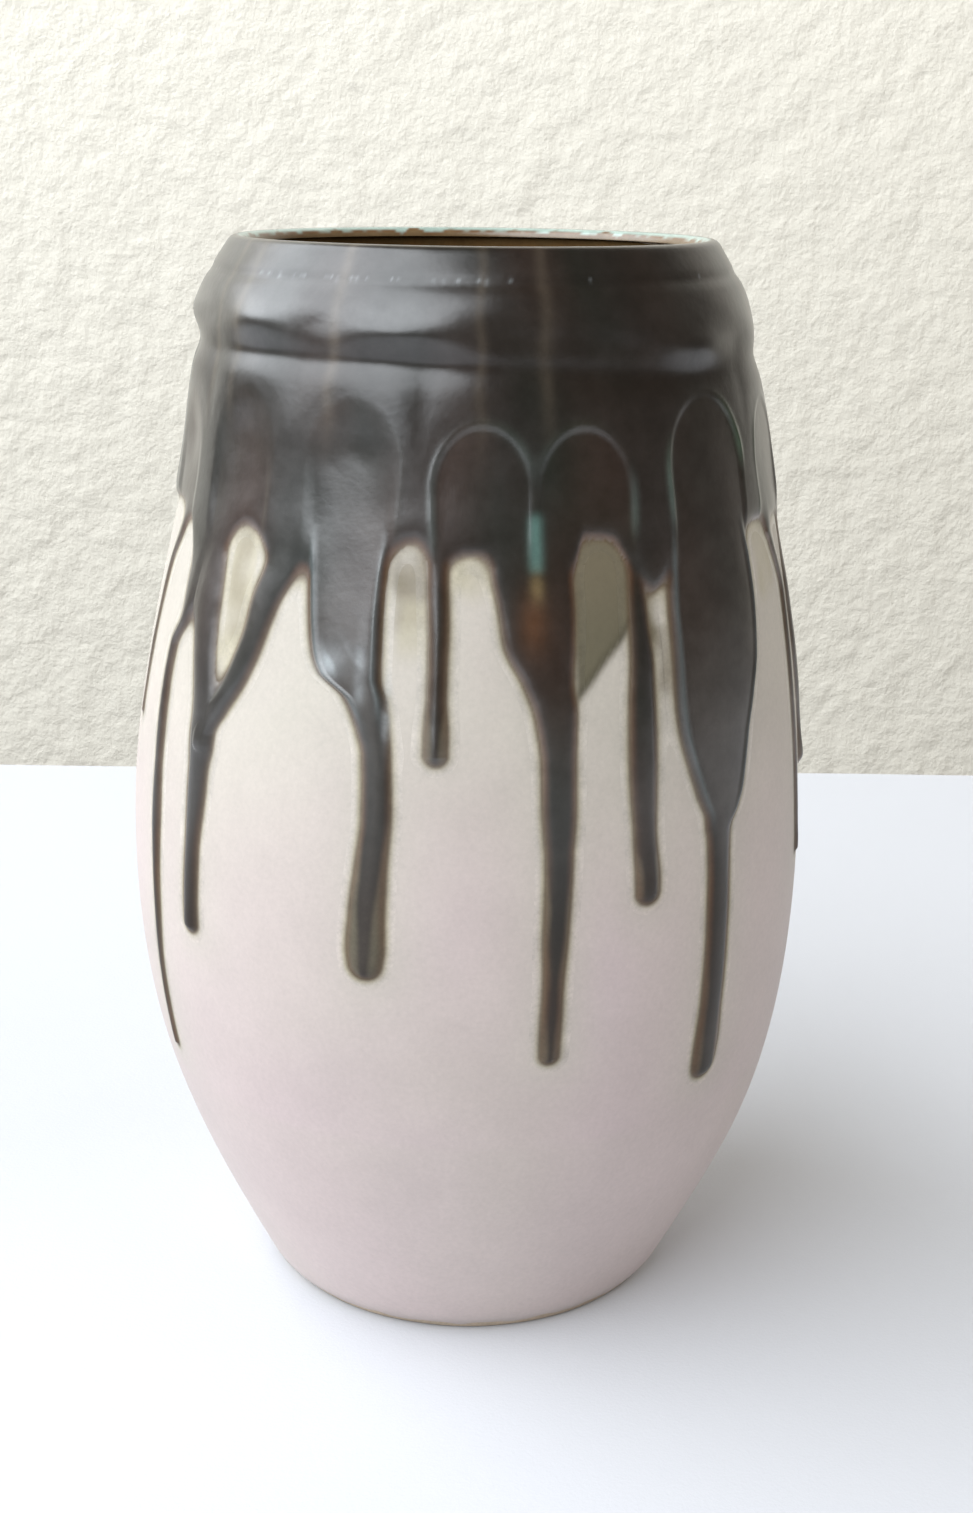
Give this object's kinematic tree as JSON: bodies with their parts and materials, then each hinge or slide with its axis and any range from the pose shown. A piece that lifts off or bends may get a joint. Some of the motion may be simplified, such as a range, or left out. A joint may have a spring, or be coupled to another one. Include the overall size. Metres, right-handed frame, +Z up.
{
  "type": "drip-glazed vase",
  "caption": "Wide-mouthed ovoid stoneware vase: pale matt ground glaze, dark glaze over shoulder and lip with long runs, holds stems or water.",
  "frame": {"origin": "centre of the foot's resting plane", "axes": "+Z up along the axis of throwing, -Y towards the vase's front"},
  "size_m": [0.1416, 0.1422, 0.22],
  "materials": {
    "bare_stoneware": "unglazed, matt",
    "liner_glaze": "glossy, dark brown, breaking to pale celadon at the lip",
    "ground_glaze": "matt to satin",
    "dark_glaze": "satin, breaking paler where thin"
  },
  "bodies": {
    "root": {"stoneware_body": "bare_stoneware", "liner_glaze": "liner_glaze", "ground_glaze": "ground_glaze", "shoulder_glaze": "dark_glaze", "glaze_run_01": "dark_glaze", "glaze_run_02": "dark_glaze", "glaze_run_03": "dark_glaze", "glaze_run_04": "dark_glaze", "glaze_run_05": "dark_glaze", "glaze_run_06": "dark_glaze", "glaze_run_07": "dark_glaze", "glaze_run_08": "dark_glaze", "glaze_run_09": "dark_glaze", "glaze_run_10": "dark_glaze", "glaze_run_11": "dark_glaze", "glaze_run_12": "dark_glaze", "glaze_run_13": "dark_glaze", "glaze_run_14": "dark_glaze", "glaze_run_15": "dark_glaze", "glaze_run_16": "dark_glaze", "glaze_run_17": "dark_glaze", "glaze_run_18": "dark_glaze", "glaze_run_19": "dark_glaze", "glaze_run_20": "dark_glaze", "glaze_run_21": "dark_glaze"}
  },
  "joints": []
}
